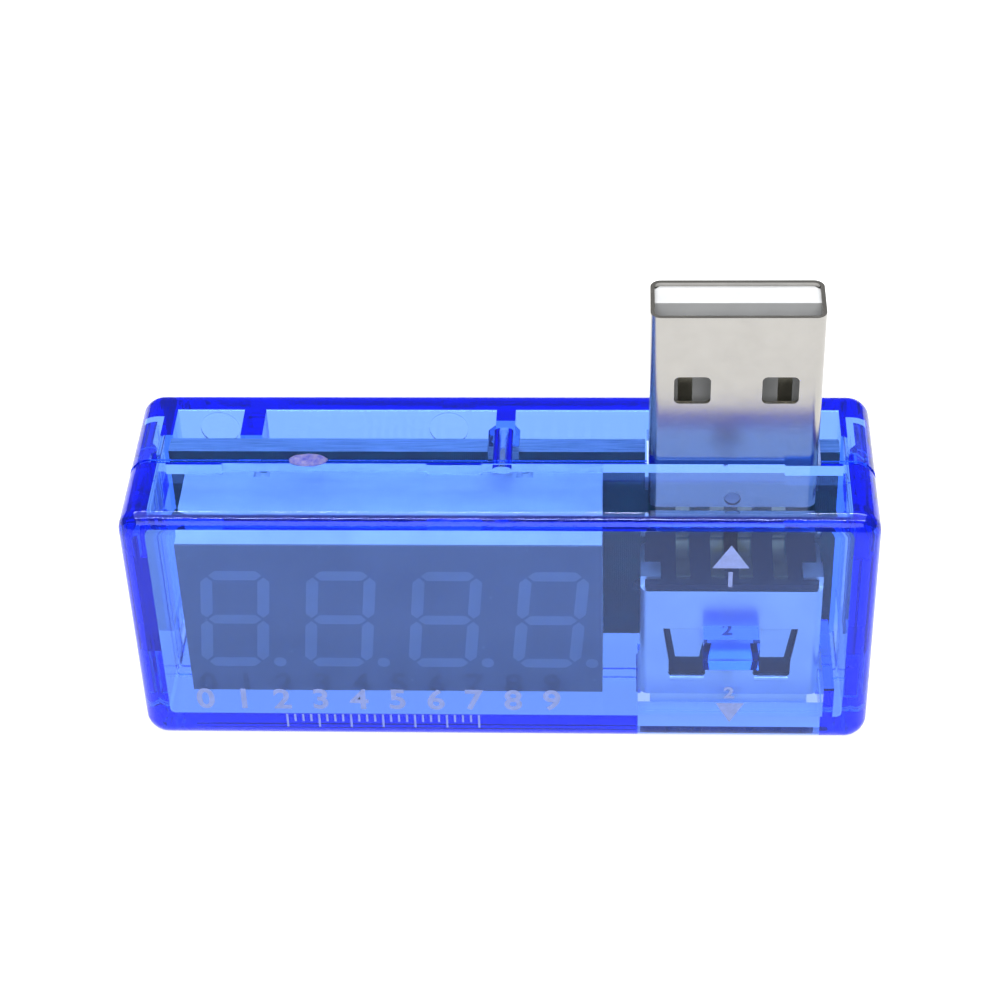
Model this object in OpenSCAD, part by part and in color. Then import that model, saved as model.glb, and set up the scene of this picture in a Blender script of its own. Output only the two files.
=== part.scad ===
// USB power meter: a pass-through volt and current meter with a plug on top,
// a socket underneath and a four digit display, in a two-part clear case.
// Millimetres. +X is right, +Y is back, +Z is up along the plug.
// The origin is the middle of the whole meter, at its underside.

/* [Case] */
// Width of the case, left to right
case_w = 53.4; // [53:0.1:56]
// Depth of the case, front to back
case_d = 15.1; // [15:0.1:17]
// Height of the case without the plug
case_h = 21.2; // [21.2:0.1:23]
// Thickness of the top, bottom and side walls
wall = 1.85; // [1.7:0.05:1.9]
// Radius of the case's corners, seen from the front
corner_r = 1.7; // [1.5:0.1:2]
// Radius of the edges round the front and back faces
edge_r = 1.3; // [0.6:0.1:1.4]
// Distance of the seam between the covers from the front
seam = 6.7; // [6.6:0.1:6.8]

/* [Connectors] */
// Distance of the plug and socket from the middle of the case
port_x = 16.6; // [16.2:0.1:16.7]
// Length of plug that stands out of the case
plug_reach = 12.4; // [11.8:0.1:13]
// Width of the plug's metal shell
plug_w = 12; // [11.9:0.1:12.1]
// Thickness of the plug's metal shell
plug_t = 4.5; // [4.4:0.1:4.6]
// Thickness of the metal sheet of both shells
sheet = 0.3; // [0.25:0.05:0.35]

/* [Display] */
// Width of the display module
display_w = 30.2; // [30:0.1:30.4]
// Height of the display module
display_h = 14; // [13.6:0.1:14.2]
// Height of a digit
digit_h = 9.2; // [8.6:0.1:9.4]
// Width of a digit
digit_w = 4.95; // [4.4:0.05:5.2]
// Distance from one digit to the next
digit_pitch = 7.6; // [7.4:0.1:7.7]
// Slant of the digits, in degrees
digit_slant = 5; // [0:1:8]

/* [Hidden] */
$fn = 64;
FACE = 0.01;                // lets a cut run just past a face
CLEAR = 0.05;               // air left between parts that only locate each other

// Inside of the case
front_wall = 1.6;
back_wall = 1.3;
inner_x = case_w / 2 - wall;
inner_top = case_h - wall;
inner_back = case_d - back_wall;
inner_r = 0.4;
groove = 0.14;              // fine line left round the seam
seam_gap = 0.15;            // the front cover's rim stops this far short of the seam
front_rim = seam - seam_gap;

// Circuit board, by its distance from the front
pcb_front = 9.2;
pcb_t = 1.5;
pcb_back = pcb_front + pcb_t;
pcb_x = [2.5 - case_w / 2, case_w / 2 - 2.4];
pcb_z = [3.1, 19.1];
pcb_notch_x = [-1, 1.25];
pcb_notch_z = 18.4;

// Plug
plug_front = 6.8;
plug_back = plug_front + plug_t;
plug_x = [port_x - plug_w / 2, port_x + plug_w / 2];
plug_z = [16, case_h + plug_reach];
plug_tongue_front = 9;
plug_hole_x = 3.05;
plug_hole_w = 2.55;
plug_hole_z = [26.3, 28.6];
plug_clip_z = 16.75;
strip = 0.25;               // thickness of every contact strip
contact_pitch = [-3.5, -1, 1, 3.5];

// Socket
socket_front = 3.5;
socket_back = 9;
socket_half_w = 6.55;
socket_z = [1.65, 12.4];
flare = 0.25;               // how far each lip leans out
flare_h = 0.65;
socket_block_z = [11.2, 13];
socket_tongue_y = [4.4, 6.25];
socket_tongue_z = 3.5;
spring_root_z = 10.8;
opening_x = [port_x - 6.7, port_x + 6.8];
opening_y = [socket_front - flare - 0.15, socket_back + 0.4];
leg_x = 6.4;                // legs of the shell, from the middle of the socket
leg_z = 8;
leg_hole_r = 0.65;

// Tongues cut in the socket's shell
shell_spring_x = 3.1;
shell_spring_z = [5.8, 8.8];
shell_spring_tilt = 5;

// Display
display_x = -7.8;
display_z = 11.1;
display_y = [1.75, 8.7];
mask_t = 0.15;
mask_back = display_y[0] + mask_t;
display_edge_x = [display_x - display_w / 2, display_x + display_w / 2];
display_edge_z = [display_z - display_h / 2, display_z + display_h / 2];
well_d = 0.8;               // depth of the wells behind the mask
stroke = 0.85;              // width of a segment
digit_side = (digit_w - stroke) / 2;
digit_top = (digit_h - stroke) / 2;
segment_gap = 0.16;         // mask left between neighbouring segments
dot_r = 0.45;
dot_x = 2.95;
pin_pitch = 2.54;
pin_rows = [-5.08, 5.08];
pin_end = 11.9;

// Locating peg of the back cover, in a hole cored round it, and its rib
peg = [0.15, 20.15];
peg_r = 0.52;
peg_hole_r = 0.7;
peg_hole_y = [6.3, 10.8];
rib_plan = [[-0.5, inner_back + FACE], [-0.5, 12], [-1, 11.4], [-1, pcb_back + CLEAR],
    [1.3, pcb_back + CLEAR], [1.3, 11.4], [0.9, 12], [0.9, inner_back + FACE]];
rib_low = 17.2;
side_rib_x = [-19.1, -17.5];
ledge_x = [0.8 - inner_x, inner_x - 0.4];

// Snap hooks of the front cover, by their distance from the inside of the side walls
hook_z = [[1.5, 5.2], [14.9, 20]];
hook_x = [0.4, 1];
hook_end = 12.15;
barb = [[0.41, 8.4], [0.08, 8.7], [0.08, 9], [0.41, 9.6]];
pocket_x = 1.2;
pocket_end = 12.4;
bridge_x = 0.25;            // the barb catches behind this bridge
bridge_end = 8.1;

// Web beside the socket
web_x = [port_x + 6.85, port_x + 7.6];
web_top = 4.7;

// Reliefs along the top of the front cover's rim, and ejector marks inside the back cover
relief_x = [[-23.9, -19.85], [-5.2, -1.3], [20.2, 24.3]];
relief_d = 0.3;
mark_at = [[-21.1, 17.6], [-4.1, 17.6], [-21.1, 3.6], [-4.1, 3.6], [20.5, 3.6]];
mark_r = 1.45;
mark_d = 0.12;

// Small parts on the back of the board
small_l = 1.6;
small_w = 0.8;
cap_l = 0.3;
resistor_spots = [[-22.4, 6], [-22.4, 8], [-22.4, 10], [-22.4, 12], [8.2, 5],
    [8.2, 11], [8.2, 13], [13.2, 10.4], [16.6, 10.4], [20, 10.4]];
capacitor_spots = [[-16.1, 7.5], [-16.1, 9.5], [-16.1, 12.5], [-16.1, 14.5],
    [-22.4, 14.5], [8.2, 15.2], [0.4, 5]];
resistor_t = 0.45;
capacitor_t = 0.8;
controller_at = [display_x, display_z];
controller_size = [7.2, 5.3, 1.6];
amplifier_at = [4.2, 11.9];
amplifier_size = [4.9, 3.9, 1.4];
regulator_at = [4.2, 5.9];
regulator_size = [4.5, 2.5, 1.5];
shunt_at = [port_x, 6.4];
shunt_size = [6.35, 3.2, 0.6];
shunt_cap = 1;

// ---- shared helpers ----

// Moves a shape measured from the case's front face into the meter's frame.
module in_case() translate([0, -case_d / 2, 0]) children();

// A block given by its low and high place along each axis.
module block(x, y, z)
    translate([x[0], y[0], z[0]]) cube([x[1] - x[0], y[1] - y[0], z[1] - z[0]]);

// Turns a shape drawn flat so that its height runs to the back of the case.
module stand_up() mirror([0, 1, 0]) rotate([90, 0, 0]) children();

// Puts a shape drawn flat on the back of the circuit board.
module on_board(at) translate([at[0], pcb_back, at[1]]) stand_up() children();

// A rod that runs from front to back.
module rod(x, z, y, r)
    translate([x, y[0], z]) rotate([-90, 0, 0]) cylinder(r = r, h = y[1] - y[0]);

// Outline of a rectangle with round corners, centred in x and standing on y = 0.
module round_outline(w, h, r) {
    translate([r - w / 2, 0]) square([w - 2 * r, h]);
    translate([-w / 2, r]) square([w, h - 2 * r]);
    for (x = [r - w / 2, w / 2 - r], y = [r, h - r])
        translate([x, y]) circle(r);
}

// A rectangular tube standing along z, given by its outside.
module sheet_tube(x, y, z, r) {
    w = x[1] - x[0];
    d = y[1] - y[0];
    translate([(x[0] + x[1]) / 2, y[0], z[0]])
        difference() {
            linear_extrude(z[1] - z[0]) round_outline(w, d, r);
            translate([0, sheet, -1])
                linear_extrude(z[1] - z[0] + 2)
                    round_outline(w - 2 * sheet, d - 2 * sheet, r - sheet);
        }
}

// ---- case ----

// Section through an edge of a cover: the outer face is at y = 0.
module edge_section(reach, depth) {
    square([reach - edge_r, depth]);
    translate([0, edge_r]) square([reach, depth - edge_r]);
    translate([reach - edge_r, edge_r]) intersection() {
        circle(edge_r);
        translate([0, -edge_r]) square(edge_r);
    }
}

// Outside of a cover, face down: round corners, and a round edge round the face.
module cover_block(depth) {
    flat_w = case_w - 2 * corner_r;
    flat_h = case_h - 2 * corner_r;
    translate([-flat_w / 2, corner_r, 0]) cube([flat_w, flat_h, depth]);
    for (x = [-1, 1], y = [0, 1])
        translate([x * flat_w / 2, corner_r + y * flat_h, 0])
            rotate_extrude() edge_section(corner_r, depth);
    for (x = [0, 1])
        mirror([x, 0, 0]) translate([flat_w / 2, corner_r + flat_h, 0])
            rotate([90, 0, 0]) linear_extrude(flat_h) edge_section(corner_r, depth);
    for (y = [0, 1])
        translate([0, y * case_h, 0]) mirror([0, y, 0])
            translate([flat_w / 2, corner_r, 0]) rotate([90, 0, -90])
                linear_extrude(flat_w) edge_section(corner_r, depth);
}

// A cover as an open tray, face down, with a fine rebate round its open rim.
module cover_tray(depth, face_wall) {
    difference() {
        cover_block(depth);
        translate([0, wall, face_wall])
            linear_extrude(depth) round_outline(2 * inner_x, inner_top - wall, inner_r);
        translate([0, 0, depth - groove])
            linear_extrude(1)
                difference() {
                    translate([0, -1]) square([2 * case_w, 3 * case_h], center = true);
                    translate([0, groove])
                        round_outline(case_w - 2 * groove, case_h - 2 * groove, corner_r - groove);
                }
    }
}

// A snap hook on the right-hand side, and the pocket that it springs into.
module snap_hook(z) {
    block([inner_x + hook_x[0], inner_x + hook_x[1]], [front_rim - FACE, hook_end], z);
    translate([inner_x, 0, z[0]]) linear_extrude(z[1] - z[0]) polygon(barb);
}
module snap_pocket(z) {
    tall = [z[0] - 0.3, z[1] + 0.3];
    block([inner_x + bridge_x, inner_x + pocket_x], [seam - 1, pocket_end], tall);
    block([inner_x - FACE, inner_x + bridge_x + FACE], [bridge_end, pocket_end], tall);
}

module front_cover() color("royalblue", 0.5) in_case() {
    difference() {
        union() {
            stand_up() cover_tray(front_rim, front_wall);
            // Boss that keeps the socket from tipping forwards
            block([port_x - 2, port_x + 2.05], [front_wall - FACE, 3.4], [6.5, 9.15]);
            // Web that stands in front of the board's lower corner, clear of the back cover
            block(web_x, [front_wall - FACE, front_rim], [wall - FACE, web_top]);
            block(web_x, [front_rim - FACE, pcb_front - 0.1], [wall + 0.1, web_top]);
            for (x = [0, 1], z = hook_z) mirror([x, 0, 0]) snap_hook(z);
        }
        rod(peg[0], peg[1], [peg_hole_y[0], seam + 1], peg_hole_r);
        block(opening_x, [opening_y[0], seam + 1], [-1, wall + 1]);
        for (x = relief_x) block(x, [front_rim - relief_d, seam + 1], [inner_top - FACE, case_h + 1]);
    }
}

module back_cover() color("royalblue", 0.5) in_case() {
    difference() {
        union() {
            translate([0, case_d, 0]) rotate([90, 0, 0]) cover_tray(case_d - seam, back_wall);
            // Rib and two side ledges that the board rests against
            for (x = [side_rib_x, [-inner_x - FACE, ledge_x[0]], [ledge_x[1], inner_x + FACE]])
                block(x, [pcb_back + CLEAR, inner_back + FACE], [wall - FACE, inner_top + FACE]);
            translate([0, 0, rib_low]) linear_extrude(inner_top + FACE - rib_low) polygon(rib_plan);
        }
        block([plug_x[0] - 0.15, plug_x[1] + 0.15], [seam - 1, plug_back + 0.15],
            [inner_top - 1, case_h + 1]);
        block(opening_x, [seam - 1, opening_y[1]], [-1, wall + 1]);
        rod(peg[0], peg[1], [seam - 1, peg_hole_y[1]], peg_hole_r);
        for (x = [0, 1], z = hook_z) mirror([x, 0, 0]) snap_pocket(z);
        for (at = mark_at) rod(at[0], at[1], [inner_back - 1, inner_back + mark_d], mark_r);
    }
    rod(peg[0], peg[1], [peg_hole_y[0] + 0.1, peg_hole_y[1] + FACE], peg_r);
}

// ---- circuit board ----

module circuit_board() color("seagreen") in_case() difference() {
    block(pcb_x, [pcb_front, pcb_back], pcb_z);
    block([plug_x[0] - 0.25, plug_x[1] + 0.25], [pcb_front - 1, pcb_back + 1], [plug_z[0] - 0.4, 30]);
    block(pcb_notch_x, [pcb_front - 1, pcb_back + 1], [pcb_notch_z, 30]);
    for (i = [0:5], z = pin_rows)
        rod(display_x + (i - 2.5) * pin_pitch, display_z + z, [pcb_front - 1, pcb_back + 1], 0.45);
    for (x = contact_pitch)
        rod(port_x + x, socket_block_z[1] + strip / 2, [pcb_front - 1, pcb_back + 1], 0.45);
    for (x = [-1, 1]) rod(port_x + x * leg_x, leg_z, [pcb_front - 1, pcb_back + 1], leg_hole_r);
}

// ---- display ----

// Slants a point of a digit: it leans to the right above the middle.
function lean(p) = [p[0] + p[1] * tan(digit_slant), p[1]];

// Corners of an upright bar from y = low to y = high, with pointed ends.
function bar(x, low, high) = [
    [x - stroke / 2, low + stroke / 2], [x, low], [x + stroke / 2, low + stroke / 2],
    [x + stroke / 2, high - stroke / 2], [x, high], [x - stroke / 2, high - stroke / 2]];

// The same bar lying down, from x = low to x = high.
function flat_bar(y, low, high) = [for (p = bar(y, low, high)) [p[1], p[0]]];

// The seven segments of one digit, upright, as outlines round its middle.
function digit_bars() = concat(
    [for (y = [-digit_top, 0, digit_top])
        flat_bar(y, segment_gap - digit_side, digit_side - segment_gap)],
    [for (x = [-digit_side, digit_side], y = [-digit_top, 0])
        bar(x, y + segment_gap, y + digit_top - segment_gap)]);

// The segments of all the digits, slanted, as flat outlines.
module all_bars()
    for (i = [0:3]) translate([display_x + (i - 1.5) * digit_pitch, display_z])
        for (b = digit_bars()) polygon([for (p = b) lean(p)]);

module all_dots()
    for (i = [0:3])
        translate([display_x + (i - 1.5) * digit_pitch + dot_x, display_z - digit_top]) circle(dot_r);

// Runs a flat outline from front to back.
module deep(y) translate([0, y[0], 0]) stand_up() linear_extrude(y[1] - y[0]) children();

module display_housing() color("white") in_case() difference() {
    block(display_edge_x, [mask_back, display_y[1]], display_edge_z);
    deep([mask_back - 1, mask_back + well_d]) all_bars();
    deep([mask_back - 1, mask_back + well_d]) all_dots();
    // Notches moulded in the two long sides
    for (x = [-1, 1], z = display_edge_z)
        rod(display_x + x * 9.5, z, [display_y[1] - 1.2, display_y[1] + 1], 0.6);
}

module display_mask() color("dimgray") in_case() difference() {
    block(display_edge_x, [display_y[0], mask_back], display_edge_z);
    deep([display_y[0] - 1, mask_back + 1]) all_bars();
    deep([display_y[0] - 1, mask_back + 1]) all_dots();
}

module display_segments() color("lightslategray") in_case()
    deep([display_y[0], mask_back + well_d]) all_bars();

module display_dots() color("lightslategray") in_case()
    deep([display_y[0], mask_back + well_d]) all_dots();

module display_pins() color("silver") in_case()
    for (i = [0:5], z = pin_rows) {
        x = display_x + (i - 2.5) * pin_pitch;
        block([x - 0.25, x + 0.25], [display_y[1], pin_end],
            [display_z + z - 0.125, display_z + z + 0.125]);
    }

// ---- plug ----

module plug_shell() color("lightgray") in_case() difference() {
    sheet_tube(plug_x, [plug_front, plug_back], plug_z, 0.75);
    for (x = [-plug_hole_x, plug_hole_x])
        translate([port_x + x, 0, plug_hole_z[0]])
            deep([0, 20]) round_outline(plug_hole_w, plug_hole_z[1] - plug_hole_z[0], 0.4);
    rod(port_x, plug_clip_z, [plug_front - 1, plug_front + 1], 0.6);
}

// Height of a plug contact's tip: the two outer contacts reach further.
function plug_strip_top(i) = plug_z[1] - (i == 0 || i == 3 ? 1.4 : 2.4);

// A plug contact's strip, which the insulator also makes room for.
module plug_strip(i, low, side)
    block([port_x + contact_pitch[i] - side, port_x + contact_pitch[i] + side],
        [plug_tongue_front - 0.05, plug_tongue_front - 0.05 + strip], [low, plug_strip_top(i)]);

module plug_insulator() color("whitesmoke") in_case() difference() {
    inside_x = [plug_x[0] + sheet, plug_x[1] - sheet];
    union() {
        block(inside_x, [plug_front + sheet, plug_back - sheet], [plug_z[0] + 0.1, 20.4]);
        block(inside_x, [plug_tongue_front, plug_back - sheet], [20, plug_z[1] - 0.3]);
        rod(port_x, plug_clip_z, [plug_front + 0.1, plug_front + 1], 0.5);
    }
    for (i = [0:3]) plug_strip(i, plug_z[0] - 1, 0.5);
    // Clear the rounded corners of the shell
    for (x = inside_x) translate([x, plug_back - sheet, plug_z[0]]) rotate([0, 0, 45])
        cube([0.5, 0.5, 60], center = true);
    for (x = inside_x) translate([x, plug_front + sheet, plug_z[0]]) rotate([0, 0, 45])
        cube([0.5, 0.5, 60], center = true);
}

module plug_contact(i) color("gold") in_case() plug_strip(i, 13.9, 0.5);

// ---- socket ----

// Opening cut in the shell round one tongue, and the tongue itself, as flat outlines.
module spring_window() polygon([[-1.8, shell_spring_z[1]], [1.8, shell_spring_z[1]],
    [1.35, 5.6], [1.35, 4.3], [1.15, 4.1], [-1.15, 4.1], [-1.35, 4.3], [-1.35, 5.6]]);
module spring_outline() polygon([[-1.3, 0], [1.3, 0],
    [0.87, shell_spring_z[0] - shell_spring_z[1]], [-0.87, shell_spring_z[0] - shell_spring_z[1]]]);

// A lip that leans out from the shell's mouth, along an edge of the given length.
module lip(length)
    rotate([90, 0, 0]) rotate([0, 90, 0]) translate([0, 0, -length / 2]) linear_extrude(length)
        polygon([[0, flare_h], [sheet, flare_h], [sheet - flare, 0], [-flare, 0]]);

module socket_shell() color("lightsteelblue") in_case() {
    mid_y = (socket_front + socket_back) / 2;
    difference() {
        sheet_tube([port_x - socket_half_w, port_x + socket_half_w], [socket_front, socket_back],
            [socket_z[0] + flare_h, socket_z[1]], 0.6);
        for (x = [-shell_spring_x, shell_spring_x])
            translate([port_x + x, 0, 0]) deep([0, 20]) spring_window();
    }
    translate([port_x, 0, socket_z[0]]) {
        translate([0, socket_front, 0]) lip(11.6);
        translate([0, socket_back, 0]) mirror([0, 1, 0]) lip(11.6);
        for (x = [0, 1]) mirror([x, 0, 0])
            translate([-socket_half_w, mid_y, 0]) rotate([0, 0, -90]) lip(4.1);
    }
    // Rolled edge under each opening, so that the tongue's tip can't catch
    for (x = [-shell_spring_x, shell_spring_x])
        translate([port_x + x - 1.25, socket_front + 0.15, 3.85]) rotate([0, 90, 0])
            cylinder(r = 0.28, h = 2.5);
    // Legs through the board, and ears folded over the insulator
    for (x = [0, 1]) translate([port_x, 0, 0]) mirror([x, 0, 0]) {
        block([leg_x - 0.15, socket_half_w], [socket_back - 0.8, pin_end], [leg_z - 0.6, leg_z + 0.6]);
        block([6.25, socket_half_w], [4.1, 5.7], [socket_z[1] - FACE, 13.3]);
        block([5.1, socket_half_w], [4.1, 5.7], [13.05, 13.3]);
    }
}

module shell_spring(side, back) color("lightsteelblue") in_case()
    translate([port_x + side * shell_spring_x,
        back ? socket_back - sheet / 2 : socket_front + sheet / 2, shell_spring_z[1]])
        rotate([back ? -shell_spring_tilt : shell_spring_tilt, 0, 0])
            translate([0, -sheet / 2, 0]) deep([0, sheet]) spring_outline();

// Path of a contact through the insulator, as an outline from front to back and up.
module contact_path() {
    top = socket_block_z[1];
    polygon([[4.2, top + strip], [4.2, 11.8], [5.1, 11.8], [5.1, spring_root_z],
        [5.1 + strip, spring_root_z], [5.1 + strip, 11.8 + strip], [4.2 + strip, 11.8 + strip],
        [4.2 + strip, top], [8.9, top], [8.9, top + strip]]);
}

// Runs an outline drawn front to back and up, sideways.
module across(x, half) translate([x - half, 0, 0]) rotate([90, 0, 90]) linear_extrude(2 * half) children();

module socket_contact(i) color("gold") in_case() {
    x = port_x + contact_pitch[i];
    across(x, 0.5) contact_path();
    block([x - 0.28, x + 0.28], [8.9 - FACE, pin_end], [socket_block_z[1], socket_block_z[1] + strip]);
}

// The springy end: it slopes out of the tongue, turns at the crown and tucks back in.
module contact_spring(i) color("gold") in_case()
    across(port_x + contact_pitch[i], 0.45)
        polygon([[5.1, spring_root_z], [5.1 + strip, spring_root_z], [5.1 + strip, 10.2],
            [6.62, 5.3], [6.62, 5], [5.95, 3.95], [5.7, 3.95], [6.35, 5.1], [5.1, 10.1]]);

module socket_insulator() color("black") in_case() difference() {
    inside_x = socket_half_w - sheet - 0.03;
    union() {
        block([port_x - inside_x, port_x + inside_x],
            [socket_front + sheet + 0.03, socket_back - sheet - 0.03], [socket_block_z[0], 12.5]);
        block([port_x - 6.15, port_x + 6.15], [socket_front + 0.1, pcb_front - CLEAR],
            [12.45, socket_block_z[1]]);
        block([port_x - 5.55, port_x + 5.55], socket_tongue_y, [socket_tongue_z, socket_block_z[0] + 0.5]);
    }
    for (x = contact_pitch) {
        across(port_x + x, 0.5) contact_path();
        // Channel that the spring moves in, open to the back of the tongue
        block([port_x + x - 0.6, port_x + x + 0.6], [4.85, socket_tongue_y[1] + 1],
            [socket_tongue_z + 0.3, spring_root_z]);
        block([port_x + x - 0.6, port_x + x + 0.6], [4.85, 6.4],
            [spring_root_z - FACE, spring_root_z + 0.4]);
    }
    // Clear the rounded corners of the shell
    for (x = [-1, 1], y = [socket_front + sheet, socket_back - sheet])
        translate([port_x + x * (socket_half_w - sheet), y, 12]) rotate([0, 0, 45])
            cube([0.4, 0.4, 0.9], center = true);
}

// ---- small electronics on the back of the board ----

// A bent lead, drawn from the chip's side outwards; height is where it leaves the body.
module gull_lead(width, reach, height) {
    t = 0.15;
    translate([-width / 2, 0, 0]) rotate([90, 0, 90]) linear_extrude(width)
        polygon([[0, height], [reach * 0.4, height], [reach * 0.5, 0], [reach, 0], [reach, t],
            [reach * 0.5 + t, t], [reach * 0.4 + t, height + t], [0, height + t]]);
}

// A row of leads on both long sides of a chip.
module lead_rows(size, count, pitch, width, reach)
    for (i = [0:count - 1], side = [0, 1])
        translate([(i - (count - 1) / 2) * pitch, 0, 0]) mirror([0, side, 0])
            translate([0, size[1] / 2, 0]) gull_lead(width, reach, size[2] / 2);

// A moulded chip with a chamfer along its top edges and a dimple beside lead one.
module chip_body(size) {
    gap = 0.1;
    translate([0, size[1] / 2, 0]) rotate([90, 0, 0]) linear_extrude(size[1])
        polygon([[-size[0] / 2, gap], [size[0] / 2, gap], [size[0] / 2, size[2] * 0.7],
            [size[0] / 2 - 0.2, size[2]], [0.2 - size[0] / 2, size[2]], [-size[0] / 2, size[2] * 0.7]]);
}
module chip_with_dot(size) difference() {
    chip_body(size);
    translate([size[0] / 2 - 0.8, 0.8 - size[1] / 2, size[2] - 0.08]) cylinder(r = 0.35, h = 1);
}

module controller_body() color([0.1, 0.1, 0.1]) in_case() on_board(controller_at)
    chip_with_dot(controller_size);
module controller_leads() color("silver") in_case() on_board(controller_at)
    lead_rows(controller_size, 10, 0.65, 0.28, 1.2);

module amplifier_body() color([0.1, 0.1, 0.1]) in_case() on_board(amplifier_at)
    chip_with_dot(amplifier_size);
module amplifier_leads() color("silver") in_case() on_board(amplifier_at)
    lead_rows(amplifier_size, 4, 1.27, 0.42, 1.05);

module regulator_body() color([0.12, 0.12, 0.12]) in_case() on_board(regulator_at) difference() {
    chip_body(regulator_size);
    // The heat tab runs under the body
    translate([-0.9, -2, -1]) cube([1.8, 5, 1.15]);
}
module regulator_leads() color("silver") in_case() on_board(regulator_at) {
    translate([-0.9, -1.25, 0]) cube([1.8, 3.1, 0.15]);
    for (x = [-1.5, 0, 1.5]) translate([x - 0.22, -2.15, 0]) cube([0.44, 0.9, 0.15]);
}

module shunt_resistor() color("darkslategray") in_case() on_board(shunt_at)
    translate([shunt_cap - shunt_size[0] / 2, -shunt_size[1] / 2, 0])
        cube([shunt_size[0] - 2 * shunt_cap, shunt_size[1], shunt_size[2]]);
module shunt_terminals() color("silver") in_case() on_board(shunt_at)
    for (x = [-shunt_size[0] / 2, shunt_size[0] / 2 - shunt_cap])
        translate([x, -shunt_size[1] / 2, 0]) cube([shunt_cap, shunt_size[1], shunt_size[2]]);

module small_bodies(spots, t)
    for (at = spots) on_board(at)
        translate([cap_l - small_l / 2, -small_w / 2, 0]) cube([small_l - 2 * cap_l, small_w, t]);
module small_ends(spots, t)
    for (at = spots) on_board(at)
        for (x = [-small_l / 2, small_l / 2 - cap_l])
            translate([x, -small_w / 2, 0]) cube([cap_l, small_w, t]);

module chip_resistors() color([0.15, 0.15, 0.17]) in_case() small_bodies(resistor_spots, resistor_t);
module chip_capacitors() color("tan") in_case() small_bodies(capacitor_spots, capacitor_t);
module chip_terminals() color("silver") in_case() {
    small_ends(resistor_spots, resistor_t);
    small_ends(capacitor_spots, capacitor_t);
}

// A cone of solder on the back of the board.
module solder_cone(at, foot, tip, height) on_board(at) cylinder(r1 = foot, r2 = tip, h = height);

module solder_joints() color("gainsboro") in_case() {
    for (i = [0:5], z = pin_rows) {
        x = display_x + (i - 2.5) * pin_pitch;
        difference() {
            solder_cone([x, display_z + z], 0.85, 0.4, 0.85);
            block([x - 0.25, x + 0.25], [pcb_back - 1, pin_end],
                [display_z + z - 0.125, display_z + z + 0.125]);
        }
    }
    for (p = contact_pitch) {
        x = port_x + p;
        z = socket_block_z[1];
        difference() {
            solder_cone([x, z + strip / 2], 0.85, 0.4, 0.85);
            block([x - 0.28, x + 0.28], [pcb_back - 1, pin_end], [z, z + strip]);
        }
    }
    for (side = [-1, 1]) difference() {
        x = port_x + side * leg_x;
        solder_cone([x, leg_z], 0.84, 0.7, 0.7);
        block([x - 0.15, x + 0.15], [pcb_back - 1, pin_end], [leg_z - 0.6, leg_z + 0.6]);
    }
}

front_cover();
back_cover();
circuit_board();
display_housing();
display_mask();
display_segments();
display_dots();
display_pins();
plug_shell();
plug_insulator();
plug_contact(0);  // plug_contact_1
plug_contact(1);  // plug_contact_2
plug_contact(2);  // plug_contact_3
plug_contact(3);  // plug_contact_4
socket_shell();
socket_insulator();
socket_contact(0);  // socket_contact_1
socket_contact(1);  // socket_contact_2
socket_contact(2);  // socket_contact_3
socket_contact(3);  // socket_contact_4
contact_spring(0);  // contact_spring_1
contact_spring(1);  // contact_spring_2
contact_spring(2);  // contact_spring_3
contact_spring(3);  // contact_spring_4
shell_spring(-1, false);  // shell_spring_front_left
shell_spring(1, false);  // shell_spring_front_right
shell_spring(-1, true);  // shell_spring_back_left
shell_spring(1, true);  // shell_spring_back_right
controller_body();
controller_leads();
amplifier_body();
amplifier_leads();
regulator_body();
regulator_leads();
shunt_resistor();
shunt_terminals();
chip_resistors();
chip_capacitors();
chip_terminals();
solder_joints();
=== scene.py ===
"""Finishes, printed marks, board details and studio for the clear blue USB power meter."""

import math

import bmesh
import bpy
from bpy.props import FloatProperty, FloatVectorProperty, PointerProperty
from mathutils import Euler, Matrix, Vector


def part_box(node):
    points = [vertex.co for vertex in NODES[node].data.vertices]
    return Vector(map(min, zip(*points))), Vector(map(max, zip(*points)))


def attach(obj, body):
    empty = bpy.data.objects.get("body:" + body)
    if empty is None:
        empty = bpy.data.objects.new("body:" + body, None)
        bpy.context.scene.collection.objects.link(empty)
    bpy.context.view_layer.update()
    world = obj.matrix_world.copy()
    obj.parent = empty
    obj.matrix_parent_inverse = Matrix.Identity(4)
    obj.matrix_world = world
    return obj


bl_info = {
    "name": "USB power meter",
    "version": (1, 0, 0),
    "blender": (4, 5, 0),
    "location": "3D View > Sidebar > Power meter",
    "description": "Finishes, print, board details and studio for a clear blue USB power meter",
    "category": "Object",
}

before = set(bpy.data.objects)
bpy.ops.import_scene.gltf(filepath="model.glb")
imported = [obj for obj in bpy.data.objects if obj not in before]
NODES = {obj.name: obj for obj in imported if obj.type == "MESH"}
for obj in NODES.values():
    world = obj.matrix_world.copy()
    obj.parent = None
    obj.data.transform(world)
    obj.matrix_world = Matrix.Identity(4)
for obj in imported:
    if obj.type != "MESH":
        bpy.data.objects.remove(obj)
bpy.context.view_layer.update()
ROOT = "meter"
MM = 0.001


# ---------------------------------------------------------------- settings


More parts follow.
